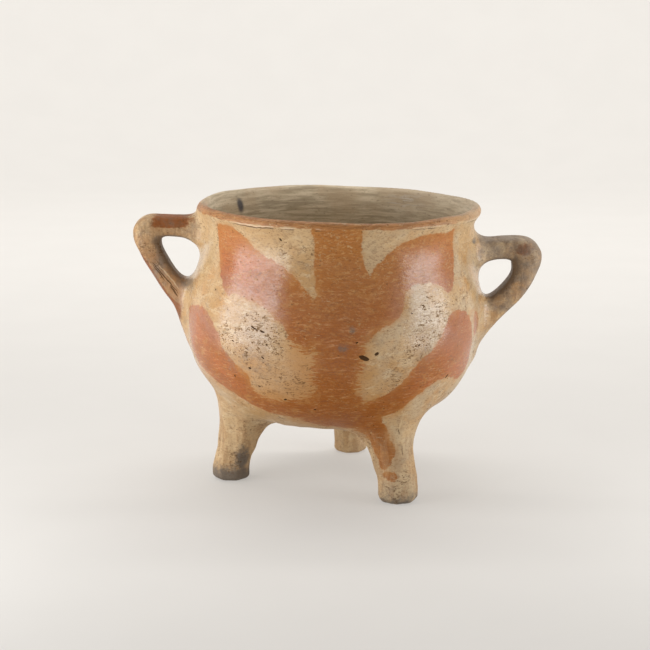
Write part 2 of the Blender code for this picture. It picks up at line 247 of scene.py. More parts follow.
# painted sheen over the shoulder's orange
ORANGE_PAINTED_SHEEN = (0.33, 0.146, 0.09)
ORANGE_THIN = (0.44, 0.2, 0.062)
ORANGE_FLECK = (0.52, 0.29, 0.11)
ORANGE_GRAIN = (0.17, 0.06, 0.02)
STREAK_PALE = (0.56, 0.29, 0.13)
STREAK_DARK = (0.2, 0.062, 0.018)
HANDLE_ORANGE = (0.225, 0.076, 0.022)
STROKE_BROWN = (0.31, 0.178, 0.086)
EARTH_BROWN = (0.33, 0.172, 0.07)
MOTTLE_BROWN = (0.14, 0.092, 0.055)
# smoke and soot colours, also laid on the handles' shaded faces as painted shade
SMOKE_AND_SHADE_BROWN = (0.182, 0.143, 0.11)
SOOT_AND_SHADE_GREY = (0.11, 0.098, 0.086)
LIP_LIGHT = (0.38, 0.172, 0.062)
LIP_DARK = (0.25, 0.105, 0.034)
INNER_GREY = (0.345, 0.268, 0.168)
INNER_PALE = (0.575, 0.46, 0.31)
INNER_WARM = (0.42, 0.3, 0.18)
# painted shade on the right of the inside
INNER_PAINTED_SHADE = (0.27, 0.21, 0.145)
INNER_WORN = (0.46, 0.39, 0.31)
INNER_GRIT = (0.12, 0.09, 0.062)
SMUDGE_BLACK = (0.05, 0.045, 0.05)
PIT_BROWN = (0.105, 0.055, 0.026)
CHIP_DARK = (0.04, 0.02, 0.01)
# painted highlight on the edge of the crack under the lip, and painted shade in the crack
CRACK_EDGE_HIGHLIGHT = (0.7, 0.54, 0.4)
CRACK_SHADE = (0.08, 0.045, 0.025)
TABLE = (0.25, 0.24, 0.225)
TABLE_GLOW = (0.395, 0.379, 0.357)

# The clay's surface
CLAY_IOR = 1.58
MOST_SHINE = 0.56
RELIEF_MM = 0.4

# Mesh, with lengths in mm
SECTION_POINTS = 150
LOWER_STEPS = 300
UPPER_STEPS = 200
LOOK_UP_STEP = 0.5
LOOK_UP_LOW = (0.0, -6.0)
LOOK_UP_HIGH = (130, 176)
GRID = 1.55
GRID_LOW = (-118, -87, -2.3)
GRID_HIGH = (118, 87, 161)
RELAX_ROUNDS = 6
RELAX_SHARE = 0.6
SOLE_FLAT = 0.12  # points lower than this are put on the floor
SEED = 11

# Softboxes beside the pot: (name, degrees from the front towards +X, width and height in m, brightness)
SOFTBOXES = [("left_softbox", -65.0, 0.31, 0.275, 4.3), ("right_softbox", 69, 0.21, 0.265, 4.3)]
SOFTBOX_AWAY = 0.36
SOFTBOX_LIFT = 0.01
SOFTBOX_COLOUR = (0.95, 0.97, 1.0)
# Other lights: (name, place, where it points, width and height in m, brightness)
OTHER_LIGHTS = [
    ("top_softbox", (0.0, 0.2, 1.5), (0.0, 0.0, 0.1), (1.4, 1.2), 0.8),
    ("backdrop_light", (0.0, 0.6, 1.4), (0.0, 1.8, 0.2), (2.4, 0.5), 12.5),
]
WORLD_COLOUR = (1.0, 0.985, 0.965, 1.0)
WORLD_LIGHT = 0.25

# The light table: a flat round that curves up into a wall, in metres
FLAT_RADIUS = 1.4
CURVE_RADIUS = 0.6
CURVE_STEPS = 16
BACKDROP_HEIGHT = 1.5
BACKDROP_SIDES = 72

# Camera: fitted to the photograph's rim, outline and feet
IMAGE_SIZE = 650
SENSOR_MM = 36.0
FOCAL_PIXELS = 1700.0
CAMERA_MM = (AXIS_X - 4.5, -950.0, 277.0)
CAMERA_PITCH = 11.2


def smooth_step(share):
    share = np.clip(share, 0, 1)
    return share * share * (3 - 2 * share)


def ramp(value, low, high):
    return smooth_step((value - low) / (high - low))


def soft_minimum(a, b, reach):
    """The lower of two distances, with a fillet where they come within reach of each other."""
    reach = np.maximum(reach, 1e-6)
    share = np.maximum(reach - np.abs(a - b), 0) / reach
    return np.minimum(a, b) - share * share * reach / 4


def rounded(u, v, rounding):
    """The distance to an edge between two faces, from the distances to the faces, rounded by this much."""
    u, v = u + rounding, v + rounding
    return np.hypot(np.maximum(u, 0), np.maximum(v, 0)) + np.minimum(np.maximum(u, v), 0) - rounding


def from_segment(u, v, start, end):
    """How far places (u, v) are from the line between two points, and how far along it, from 0 to 1."""
    au, av = start[:2]
    eu, ev = end[0] - au, end[1] - av
    share = np.clip(((u - au) * eu + (v - av) * ev) / (eu * eu + ev * ev + 1e-9), 0, 1)
    return np.hypot(u - au - share * eu, v - av - share * ev), share


# The bowl's wall


def outer_radius(height):
    """The bowl's outer radius at a height."""
    height = np.asarray(height, float)
    down = np.clip((BELLY_HEIGHT - height) / (BELLY_HEIGHT - BOWL_UNDERSIDE), 0, 1)
    lower = BELLY_RADIUS * (1 - down**BELLY_FULLNESS) ** (1 / BELLY_FULLNESS)
    up = np.clip((height - BELLY_HEIGHT) / (NECK_HEIGHT - BELLY_HEIGHT), 0, 1)
    shoulder = NECK_RADIUS + (BELLY_RADIUS - NECK_RADIUS) * (0.5 + 0.5 * np.cos(math.pi * up))
    flare = np.clip((height - NECK_HEIGHT) / (RIM_HEIGHT - WALL / 2 - NECK_HEIGHT), 0, 1)
    rim = NECK_RADIUS + (RIM_RADIUS - NECK_RADIUS) * flare**2
    return np.where(height < BELLY_HEIGHT, lower, np.where(height < NECK_HEIGHT, shoulder, rim))


def wall_section():
    """The middle of the wall from base to lip, as rows of radius, height and half thickness."""
    turn = np.linspace(0, math.pi / 2, LOWER_STEPS)
    low = BELLY_HEIGHT - (BELLY_HEIGHT - BOWL_UNDERSIDE) * np.cos(turn) ** (2 / BELLY_FULLNESS)
    high = np.linspace(BELLY_HEIGHT, RIM_HEIGHT - WALL / 2, UPPER_STEPS)
    heights = np.concatenate([low[:-1], high])
    radii = outer_radius(heights)
    radii[: LOWER_STEPS - 1] = BELLY_RADIUS * np.sin(turn[:-1]) ** (2 / BELLY_FULLNESS)
    along = np.stack([np.gradient(radii), np.gradient(heights)], 1)
    along /= np.linalg.norm(along, axis=1, keepdims=True)
    upright = ramp(heights, NECK_HEIGHT, RIM_HEIGHT)[:, None]
    along = along * (1 - upright) + np.array([0, 1.0]) * upright
    along /= np.linalg.norm(along, axis=1, keepdims=True)
    half = (WALL + (BASE_THICKNESS - WALL) * smooth_step(1 - radii / BELLY_RADIUS)) / 2
    middle_r = np.maximum(radii - along[:, 1] * half, 0)
    middle_z = heights + along[:, 0] * half
    middle_r[0] = 0
    length = np.concatenate([[0], np.cumsum(np.hypot(np.diff(middle_r), np.diff(middle_z)))])
    at = np.linspace(0, length[-1], SECTION_POINTS)
    return np.stack([np.interp(at, length, values) for values in (middle_r, middle_z, half)], 1)


def look_up(values, radius, height):
    """A value from a table over radius and height, by linear interpolation."""
    i = np.clip((radius - LOOK_UP_LOW[0]) / LOOK_UP_STEP, 0, values.shape[0] - 1.001)
    j = np.clip((height - LOOK_UP_LOW[1]) / LOOK_UP_STEP, 0, values.shape[1] - 1.001)
    a, b = i.astype(int), j.astype(int)
    s, t = i - a, j - b
    low = values[a, b] * (1 - s) + values[a + 1, b] * s
    high = values[a, b + 1] * (1 - s) + values[a + 1, b + 1] * s
    return low * (1 - t) + high * t


def wall_tables():
    """Tables of the distance to the wall's face and to its middle, positive on the outside."""
    axes = [np.arange(low, high, LOOK_UP_STEP) for low, high in zip(LOOK_UP_LOW, LOOK_UP_HIGH)]
    radius, height = np.meshgrid(*axes, indexing="ij")
    best = np.full(radius.shape, 1e9)
    face = np.full(radius.shape, 1e9)
    side = np.zeros(radius.shape)
    section = wall_section()
    for start, end in zip(section, section[1:]):
        distance, share = from_segment(radius, height, start, end)
        closer = distance < best
        cross = (end[0] - start[0]) * (height - start[1]) - (end[1] - start[1]) * (radius - start[0])
        best[closer] = distance[closer]
        side[closer] = np.where(cross[closer] < 0, 1, -1)
        face[closer] = distance[closer] - (start[2] + (end[2] - start[2]) * share[closer])
    return face, best * side


FACE, MIDDLE = wall_tables()


# Handles and feet


def strap(reach, y, height, line):
    """The distance to a rounded strap along a line of (distance from the axis, height, thickness)."""
    best = np.full(reach.shape, 1e9)
    line = finer(line, 4)
    for start, end in zip(line, line[1:]):
        across, share = from_segment(reach, height, start, end)
        half = (start[2] + (end[2] - start[2]) * share) / 2
        wide = HANDLE_WIDTH / 2 * (0.8 + 0.2 * half / HANDLE_HALF)
        best = np.minimum(best, rounded(across - half, np.abs(y) - wide, half * HANDLE_ROUNDING))
    return best


def finer(points, parts, closed=False):
    """The points with a smooth curve drawn through them."""
    points = np.array(points, float)
    before, after = (points[-1:], points[:2]) if closed else (points[:1], points[-1:])
    points = np.concatenate([before, points, after])
    made = []
    for a, b, c, d in zip(points, points[1:], points[2:], points[3:]):
        for t in np.arange(parts) / parts:
            bend = (2 * a - 5 * b + 4 * c - d) * t**2 + (3 * b - a - 3 * c + d) * t**3
            made.append(0.5 * (2 * b + (c - a) * t + bend))
    return np.array(made if closed else made + [points[-1]])


def handle(points, side, arm, limb):
    reach = points[:, 0] * side
    one = strap(reach, points[:, 1], points[:, 2], arm)
    other = strap(reach, points[:, 1], points[:, 2], limb)
    return soft_minimum(one, other, CORNER_FILLET)


def foot(points, degrees, rings):
    rings = np.array(rings, float)
    height = points[:, 2]
    away = np.interp(height, rings[:, 0], rings[:, 1])
    radius = np.interp(height, rings[:, 0], rings[:, 2])
    turn = math.radians(degrees)
    x, y = points[:, 0] - away * math.cos(turn), points[:, 1] - away * math.sin(turn)
    wave = FOOT_RIDGE_COUNT / 2 * np.arctan2(y, x) + FOOT_RIDGE_TWIST * height + degrees
    ridges = FOOT_RIDGE_CREST - np.abs(np.sin(wave))
    side = np.hypot(x, y) - radius * (1 + FOOT_RIDGES * ridges)
    return rounded(side, -height, SOLE_ROUNDING)


def clay(points):
    """The distance from the clay's face, negative inside it, for points about the bowl's axis in mm."""
    radius = np.hypot(points[:, 0], points[:, 1])
    value = look_up(FACE, radius, points[:, 2])
    middle = look_up(MIDDLE, radius, points[:, 2])
    outside = ramp(middle, 0, WALL / 2)

    def join(here, fillet, limb, *shape):
        joined = np.maximum(limb(points[here], *shape), -middle[here])
        value[here] = soft_minimum(value[here], joined, fillet * outside[here])

    for side, arm, limb in ((-1, LEFT_ARM, LEFT_LIMB), (1, RIGHT_ARM, RIGHT_LIMB)):
        here = (points[:, 0] * side > 55) & (np.abs(points[:, 1]) < 30) & (points[:, 2] > 55)
        join(here, HANDLE_FILLET, handle, side, arm, limb)
    for degrees, rings in FEET:
        turn = math.radians(degrees)
        here = (points[:, 2] < 72) & (points[:, 0] * math.cos(turn) + points[:, 1] * math.sin(turn) > 12)
        join(here, FOOT_FILLET, foot, degrees, rings)
    return value


# Meshing the field


def part(values, axis, start, stop):
    """The values from start to stop along one axis."""
    return values[(slice(None),) * axis + (slice(start, stop),)]


def surface():
    """Points and four-sided faces of the field's zero surface, one point in each cell that it crosses."""
    axes = [np.arange(a, b + GRID, GRID) for a, b in zip(GRID_LOW, GRID_HIGH)]
    grid = np.stack(np.meshgrid(*axes, indexing="ij"), -1)
    value = clay(grid.reshape(-1, 3)).reshape(grid.shape[:3])
    inside = value < 0
    cells = [n - 1 for n in value.shape]
    total = np.zeros((*cells, 3))
    count = np.zeros(cells)
    edges = []
    for axis in range(3):
        a, b = part(value, axis, 0, -1), part(value, axis, 1, None)
        crossed = (a < 0) != (b < 0)
        share = np.where(crossed, a / np.where(crossed, a - b, 1), 0)
        place = part(grid, axis, 0, -1).copy()
        place[..., axis] += share * GRID
        place *= crossed[..., None]
        one, other = [k for k in range(3) if k != axis]
        for i, j in ((0, 0), (0, 1), (1, 0), (1, 1)):
            total += part(part(place, one, i, cells[one] + i), other, j, cells[other] + j)
            count += part(part(crossed, one, i, cells[one] + i), other, j, cells[other] + j)
        edges.append((axis, one, other, crossed))
    used = count > 0
    number = np.full(used.shape, -1)
    number[used] = np.arange(used.sum())
    faces = []
    for axis, one, other, crossed in edges:
        at = np.argwhere(crossed)
        keep = (at[:, one] > 0) & (at[:, other] > 0)
        keep &= (at[:, one] < cells[one]) & (at[:, other] < cells[other])
        at = at[keep]
        corners = []
        for i, j in ((-1, -1), (0, -1), (0, 0), (-1, 0)):
            cell = at.copy()
            cell[:, one] += i
            cell[:, other] += j
            corners.append(number[tuple(cell.T)])
        quad = np.stack(corners, 1)
        flip = inside[tuple(at.T)] != (axis == 1)
        quad[~flip] = quad[~flip][:, ::-1]
        faces.append(quad)
    return total[used] / count[used][:, None], np.concatenate(faces)


def slope(points, gap=0.3):
    """The field's slope, of unit length."""
    made = np.stack([clay(points + step) - clay(points - step) for step in gap * np.eye(3)], 1)
    return made / np.maximum(np.linalg.norm(made, axis=1, keepdims=True), 1e-9)


def evened(points, faces):
    """The points moved along the surface to sit evenly, and onto it."""
    ends = np.concatenate([faces[:, [0, 1]], faces[:, [1, 2]], faces[:, [2, 3]], faces[:, [3, 0]]])
    ends = np.concatenate([ends, ends[:, ::-1]])
    count = np.bincount(ends[:, 0], minlength=len(points))[:, None]
    for _ in range(RELAX_ROUNDS):
        total = [np.bincount(ends[:, 0], points[ends[:, 1], k], len(points)) for k in range(3)]
        out = slope(points)
        step = np.stack(total, 1) / count - points
        step -= out * (step * out).sum(1, keepdims=True)
        points = points + RELAX_SHARE * step
        points = points - slope(points) * clay(points)[:, None]
    points[points[:, 2] < SOLE_FLAT, 2] = 0
    return points


def waves(points, size, count, seed):
    """A smooth random value of about -1 to 1 whose bumps are about this size in mm."""
    random = np.random.default_rng(seed)
    value = np.zeros(len(points))
    for _ in range(count):
        direction = random.normal(size=3)
        direction /= np.linalg.norm(direction)
        length = size * random.uniform(1.4, 2.8)
        value += np.cos(points @ direction * 2 * math.pi / length + random.uniform(0, 2 * math.pi))
    return value / math.sqrt(count)


def lumpy(points, sizes, count, seed, on_bowl):
    size, on_limbs, on_wall = sizes
    return (on_limbs + (on_wall - on_limbs) * on_bowl) * waves(points, size, count, seed)


def made_by_hand(points):
    """The even pot as it was made: a little lumpy, leaning, and with a rim that slopes and wanders."""
    out = slope(points)
    radius = np.hypot(points[:, 0], points[:, 1])
    off_floor = ramp(points[:, 2], 0.5, 9)
    on_bowl = ramp(points[:, 2], 40, 60) * ramp(-radius, -92, -86)
    lumps = lumpy(points, BIG_LUMPS, 16, SEED, on_bowl) + lumpy(points, SMALL_LUMPS, 18, SEED + 1, on_bowl)
    size, tall = WIPED_RIDGES
    ridges = tall * waves(points * np.array([0.35, 0.35, 1.0]), size, 14, SEED + 2) * on_bowl
    size, tall = FOOT_FLUTES
    flutes = tall * (0.7 - np.abs(waves(points * np.array([1.0, 1.0, 0.12]), size, 7, SEED + 3)))
    flutes *= off_floor * ramp(-points[:, 2], -50, -38)
    points = points + out * (lumps * off_floor + ridges + flutes)[:, None]
    turn = np.arctan2(points[:, 1], points[:, 0])
    bowl = ramp(-radius, -96, -84) * ramp(points[:, 2], 34, 46)
    for degrees, height, wide, tall, amount in SWELLS:
        away = (turn - math.radians(degrees) + math.pi) % (2 * math.pi) - math.pi
        share = np.exp(-((away / math.radians(wide)) ** 2) - ((points[:, 2] - height) / tall) ** 2)
        points[:, :2] += points[:, :2] * (amount * share * bowl / np.maximum(radius, 1))[:, None]
    wander = 0.2 * np.sin(3 * turn + 2.0) + 0.14 * np.sin(7 * turn + 1.0)
    wander += 0.5 * np.exp(-(((turn - 2.6) / 0.6) ** 2))
    points[:, 2] += ramp(points[:, 2], 128, 157) * wander
    return np.stack(settled(*points.T), 1)


def settled(x, y, height):
    """Where a place on the even pot comes to as the pot leans and its rim slopes."""
    share = ramp(height, SETTLE_FROM, RIM_HEIGHT)
    drop = (RIM_DROP_RIGHT * x - RIM_DROP_FRONT * y) / RIM_RADIUS
    return x + RIM_SHIFT * share, y, height - drop * share


# What is where on the clay


def outline_distance(u, v, outline):
    """How far inside a closed outline each place (u, v) on the face is, in mm, negative outside it."""
    best = np.full(u.shape, 1e9)
    inside = np.zeros(u.shape, bool)
    ends = np.roll(outline, -1, axis=0)
    for start, end in zip(outline, ends):
        best = np.minimum(best, from_segment(u, v, start, end)[0])
        rise = end[1] - start[1]
        at = start[0] + (v - start[1]) * (end[0] - start[0]) / (rise if rise else 1e-9)
        inside ^= ((start[1] > v) != (end[1] > v)) & (u < at)
    return np.where(inside, best, -best)


def slip(points):
    """How far inside the painted slip each point lies, in mm, for points on the even pot."""
    heights = np.linspace(BOWL_UNDERSIDE, RIM_HEIGHT, 1500)
    steps = np.hypot(np.diff(outer_radius(heights)), np.diff(heights))
    lengths = np.concatenate([[0], np.cumsum(steps)])
    up = np.interp(points[:, 2], heights, lengths)
    degrees = np.degrees(np.arctan2(points[:, 0], -points[:, 1]))
    back = (degrees + 360) % 360 - 180
    value = np.full(len(points), UNPAINTED)

    def painted(angle, outline):
        outline = finer(outline, 3, True)
        across = np.radians(outline[:, 0]) * PAINT_RADIUS
        corners = np.stack([across, np.interp(outline[:, 1], heights, lengths)], 1)
        return outline_distance(np.radians(angle) * PAINT_RADIUS, up, corners)

    for outline in PAINTED_FRONT:
        value = np.maximum(value, painted(degrees, outline))
    value = np.maximum(value, painted(back, BACK_COLUMN))
    for outline in (BACK_BAND, BACK_CRESCENT):
        value = np.maximum(value, painted(back, outline))
        value = np.maximum(value, painted(-back, outline))
    return value


def near(points, place, size):
    """1 at a place, falling to 0 at about this size in mm away from it, for each axis."""
    away = (points - np.array(place)) / np.array(size)
    return np.exp(-2 * (away**2).sum(1))


def strongest(points, spots):
    """The strongest mark at each point out of spots of (place, size, amount)."""
    return np.max([amount * near(points, place, size) for place, size, amount in spots], axis=0)


def stroke(points, line):
    """How far inside a brush stroke seen from the front, in mm, along a line of (x, height, half width)."""
    best = np.full(len(points), UNPAINTED)
    for start, end in zip(line, line[1:]):
        away, share = from_segment(points[:, 0], points[:, 2], start, end)
        best = np.maximum(best, start[2] + (end[2] - start[2]) * share - away)
    return best


def marks(points):
    """What the material needs to know, at each point of the even pot."""
    radius = np.hypot(points[:, 0], points[:, 1])
    x, y, height = points.T
    middle = look_up(MIDDLE, radius, height)
    out = slope(points, 0.8)
    outside = middle > 0
    bowl_here = outer_radius(np.maximum(height, BOWL_UNDERSIDE)) * np.cos(np.arcsin(np.clip(y / 90, -1, 1)))
    beyond = np.abs(x) - bowl_here
    on_handle = ramp(beyond, 0.5, 6) * (height > 70) * (np.abs(y) < 24) * outside
    left = on_handle * (x < 0)
    right = on_handle * (x > 0)
    on_foot = ramp(-height, -46, -36) * outside

    painted = np.where(outside, slip(points), UNPAINTED) - 30 * ramp(on_handle, 0.1, 0.6)
    for line in FOOT_DRIP:
        painted = np.maximum(painted, np.where((y < -30) & outside, stroke(points, line), UNPAINTED))

    # orange slip on the top of the left arm and down the outside of its limb, and in two dabs
    arm = ramp(height, 143.8, 145.8) * ramp(-x, 73, 92) * ramp(x, -112, -96)
    limb = ramp(-out[:, 0], 0.30, 0.62) * ramp(-height, -136, -124) * ramp(height, 84, 92)
    orange = np.maximum(left * np.maximum(arm, limb), strongest(points, ORANGE_DABS))

    # smoke from the fire, on the handles and where they join the pot, and painted shade on the handles
    topside = ramp(out[:, 2], 0.35, 0.85) + 0.8 * ramp(out[:, 0], 0.45, 0.9)
    smoke_and_shade = 0.20 * left + right * (0.50 + 0.40 * np.clip(topside, 0, 1)) * ramp(height, 84, 100)
    # painted shade: handle faces that turn down or towards the bowl are darkened through the smoke and soot
    # marks
    towards_bowl = ramp(-out[:, 0] * np.sign(x), 0.2, 0.7)
    shaded_inner_face = ramp(np.abs(x), 78, 84) * towards_bowl + ramp(-out[:, 2], 0.5, 0.9) * on_handle
    shaded_inner_face = np.clip(shaded_inner_face, 0, 1) * on_handle
    smoke_and_shade = smoke_and_shade + (0.55 + 0.2 * (x < 0)) * shaded_inner_face + 0.5 * left * near(points, *LEFT_LIMB_SMOKE)
    smoke_and_shade = np.maximum(smoke_and_shade, strongest(points, SMOKE_AND_SHADE_SPOTS) * outside)
    # on the left handle the shaded faces are also darkened with the soot colour, as painted shade
    soot_and_shade = np.maximum(strongest(points, SOOT) * outside, 0.34 * shaded_inner_face * (x < 0))
    smudge = near(points, *SMUDGE_INSIDE) * ~outside
    return {
        "slip": painted,
        "inside": -middle,
        "lip": RIM_HEIGHT - height,
        "orange": orange,
        "smoke_and_shade": smoke_and_shade,
        "soot_and_shade": np.maximum(soot_and_shade, smudge),
        "worn": 0.9 * near(points, *WORN_INSIDE) * ~outside,
        "earthy": left * (0.35 + 0.55 * ramp(-height, -138, -126)),
        "rough": np.clip(on_handle + on_foot, 0, 1),
        "column": ramp(x, -50, -20) * (1 - 0.5 * ramp(x, 18, 55)) * ramp(-y, 10, 50) * outside,
        "feather": np.maximum(
            ramp(-y, 30, 60) * ramp(-np.abs(x + 4), -28, -14) * ramp(-height, -108, -92),
            near(points, *FEATHERED_LOW),
        ),
        "pitted": sum(amount * near(points, place, size) for place, size, amount in PITTED),
    }


# Building the piece


def added(name, data):
    made = bpy.data.objects.new(name, data)
    bpy.context.scene.collection.objects.link(made)
    return made


def mesh_of(name, points, faces):
    mesh = bpy.data.meshes.new(name)
    mesh.vertices.add(len(points))
    mesh.vertices.foreach_set("co", points.astype(np.float32).ravel())
    mesh.loops.add(faces.size)
    mesh.loops.foreach_set("vertex_index", faces.astype(np.int32).ravel())
    mesh.polygons.add(len(faces))
    mesh.polygons.foreach_set("loop_start", np.arange(0, faces.size, 4, dtype=np.int32))
    mesh.update(calc_edges=True)
    mesh.validate()
    mesh.shade_smooth()
    return mesh


def olla():
    points, faces = surface()
    even = evened(points, faces)
    points = made_by_hand(even)
    points[:, 0] += AXIS_X
    mesh = mesh_of("painted_olla", points * MM, faces)
    for name, value in marks(even).items():
        layer = mesh.attributes.new(name, "FLOAT", "POINT")
        layer.data.foreach_set("value", value.astype(np.float32))
    return added("painted_olla", mesh)


# Material


class Value:
    """What a node gives, which can be added, taken away and multiplied as a number can."""

    def __init__(self, graph, node, output=0):
        self.graph, self.socket = graph, node.outputs[output]

    def __add__(self, other):
        return self.graph.math("ADD", self, other)

    def __sub__(self, other):
        return self.graph.math("SUBTRACT", self, other)

    def __rsub__(self, other):
        return self.graph.math("SUBTRACT", other, self)

    def __mul__(self, other):
        return self.graph.math("MULTIPLY", self, other)

    __radd__, __rmul__ = __add__, __mul__


class Graph:
    """Short ways to add nodes to a material. Values and colours are Values or plain numbers."""

    def __init__(self, material):
        material.use_nodes = True
        self.tree = material.node_tree
        self.shader = self.tree.nodes["Principled BSDF"]
        self.place = Value(self, self.add("TexCoord"), "Object")

    def add(self, kind):
        return self.tree.nodes.new("ShaderNode" + kind)

    def put(self, socket, value):
        if isinstance(value, Value):
            self.tree.links.new(value.socket, socket)
        elif isinstance(value, tuple) and len(value) == 3 and len(socket.default_value) == 4:
            socket.default_value = (*value, 1)
        else:
            socket.default_value = value

    def math(self, operation, value, *others):
        for other in others:
            node = self.add("Math")
            node.operation = operation
            self.put(node.inputs[0], value)
            self.put(node.inputs[1], other)
            value = Value(self, node)
        return value

    def most(self, *values):
        """The largest of the values."""
        return self.math("MAXIMUM", *values)

    def fade(self, value, low, high, to_low=0, to_high=1):
        """A smooth change from to_low to to_high as the value goes from low to high."""
        node = self.add("MapRange")
        node.interpolation_type = "SMOOTHSTEP"
        for socket, given in zip(node.inputs, (value, low, high, to_low, to_high)):
            self.put(socket, given)
        return Value(self, node)

    def mix(self, colour, *layers):
        """A colour under layers of (share, colour)."""
        for share, other in layers:
            node = self.add("Mix")
            node.data_type = "RGBA"
            self.put(node.inputs[0], share)
            self.put(node.inputs[6], colour)
            self.put(node.inputs[7], other)
            colour = Value(self, node, 2)
        return colour

    def vector(self, operation, a, b, output=0):
        node = self.add("VectorMath")
        node.operation = operation
        self.put(node.inputs[0], a)
        self.put(node.inputs["Scale" if operation == "SCALE" else 1], b)
        return Value(self, node, output)

    def towards(self, direction):
        """How far along a direction each place is, in metres."""
        return self.vector("DOT_PRODUCT", self.place, direction, "Value")

    def mark(self, name):
        node = self.add("Attribute")
        node.attribute_name = name
        return Value(self, node, "Fac")

    def texture(self, kind, size, place):
        node = self.add(kind)
        self.put(node.inputs["Vector"], place)
        node.inputs["Scale"].default_value = 1 / (size * MM)
        return node

    def flattened(self, flat, place=None, seed=0):
        """Places for a pattern that is to be this many times as wide as it is high."""
        node = self.add("Mapping")
        self.put(node.inputs["Vector"], place or self.place)
        node.inputs["Location"].default_value = (0.71 * seed, 0.37 * seed, 0.53 * seed)
        node.inputs["Scale"].default_value = (1, 1, flat)
        return Value(self, node)

    def noise(self, size, detail, rough=0.5, flat=1, seed=0, place=None):
        """Noise of about 0.3 to 0.7 whose bumps are about this size in mm."""
        node = self.texture("TexNoise", size, self.flattened(flat, place, seed))
        node.inputs["Detail"].default_value = detail
        node.inputs["Roughness"].default_value = rough
        return Value(self, node)

    def swing(self, noise, amount):
        """Noise as a shift of up to about half this amount either way."""
        return (noise - 0.5) * amount

    def bent(self, size, amount):
        """Places shifted about by up to this many mm, so that what is drawn there wanders."""
        node = self.texture("TexNoise", size, self.place)
        node.inputs["Detail"].default_value = 1
        shift = self.vector("SUBTRACT", Value(self, node, "Color"), (0.5, 0.5, 0.5))
        return self.vector("ADD", self.place, self.vector("SCALE", shift, 2 * amount * MM))

    def dots(self, size, flat, widest, fewest, crowd, place):
        """Scattered ovals, up to this share of their spacing wide, more and larger where it is crowded."""
        node = self.texture("TexVoronoi", size, self.flattened(flat, place))
        reach = (Value(self, node, "Color") - fewest) * crowd * widest
        return self.fade(Value(self, node, "Distance") - reach, 0.02, -0.03)

    def spot(self, middle, directions, sizes, place):
        """1 inside a small oval with these half sizes in mm along three directions."""
        away = self.vector("SUBTRACT", place, tuple(middle))
        reach = 0
        for direction, size in zip(directions, sizes):
            share = self.vector("DOT_PRODUCT", away, tuple(direction / (size * MM)), "Value")
            reach = share * share + reach
        return self.fade(reach, 1.15, 0.75)


class Clay(Graph):
    """The marks and patterns that several parts of the clay's material share."""

    def __init__(self, material):
        super().__init__(material)
        self.lip, self.inside = self.mark("lip"), self.mark("inside")
        self.rough, self.column = self.mark("rough"), self.mark("column")
        self.pitted, self.feather = self.mark("pitted"), self.mark("feather")
        self.within = self.fade(self.inside, 0.4, 1.4)
        self.to_right = self.towards((1, 0, 0))
        self.wide, self.fine = self.bent(16, 3), self.bent(5, 1.4)
        self.streak = self.noise(8, 4, 0.68, 8, 7, self.wide)
        self.brushed = self.noise(22, 5, 0.68, 12, 17)
        self.grit = self.noise(2.4, 4, 0.7, 2.2, 23)
        # strokes up the handles and feet, where they were smoothed by hand
        strokes = self.noise(5.5, 4, 0.62, 0.2, 36)
        self.rubbed = self.fade(strokes, 0.54, 0.4) * self.rough
        self.upright = self.fade(strokes, 0.42, 0.64) * self.rough


def finished(place):
    """Where a place on the even pot comes to in the model's frame, in metres."""
    x, y, height = settled(*place)
    return np.array([AXIS_X + x, y, height]) * MM


def surface_point(degrees, height):
    """A point on the finished bowl's outer face, and the directions round it, up it and out of it."""
    turn = math.radians(degrees)
    radius = float(outer_radius(height))
    rise = float(outer_radius(height + 0.5) - outer_radius(height - 0.5))
    round_it = np.array([math.cos(turn), math.sin(turn), 0])
    out = np.array([math.sin(turn), -math.cos(turn), -rise])
    out /= np.linalg.norm(out)
    middle = finished((radius * math.sin(turn), -radius * math.cos(turn), height))
    return middle, round_it, np.cross(out, round_it), out


def cream_slip(g):
    """Pale slip, clouded, brushed and speckled, tanner low on the left and greyer to the right."""
    low = g.fade(g.lip, 62, 80, 0, 0.55) * g.fade(g.lip, 104, 94)
    grey = g.fade(g.noise(24, 3, 0.6, seed=41), 0.42, 0.58)
    grey *= g.fade(g.to_right, -0.015, 0.05, 0.12, 0.6)
    return g.mix(
        CREAM,
        (g.fade(g.noise(30, 3, 0.55), 0.38, 0.62), CREAM_BROWN),
        (g.fade(g.noise(17, 3, 0.6, seed=1), 0.5, 0.68, 0, 0.65), CREAM_WARM),
        (g.fade(g.noise(9, 4, 0.68, 3, 2, g.wide), 0.5, 0.66, 0, 0.7), CREAM_PALE),
        (g.fade(g.lip, 30, 12, 0, 0.35), CREAM_PALE),
        (g.pitted * 0.62, CREAM_TORN),
        (g.fade(g.lip, 106, 124, 0, 0.38), CREAM_PALE),
        (low * g.fade(g.to_right, 0, -0.016), CREAM_TAN),
        (g.fade(g.noise(6, 5, 0.75, 1.6, 4, g.fine), 0.51, 0.66, 0, 0.6), CREAM_DIRTY),
        (grey, CREAM_GREY),
        (g.fade(g.noise(1.5, 2, 0.7, 1.8, 3), 0.5, 0.68, 0, 0.6), CREAM_GRAIN),
    )


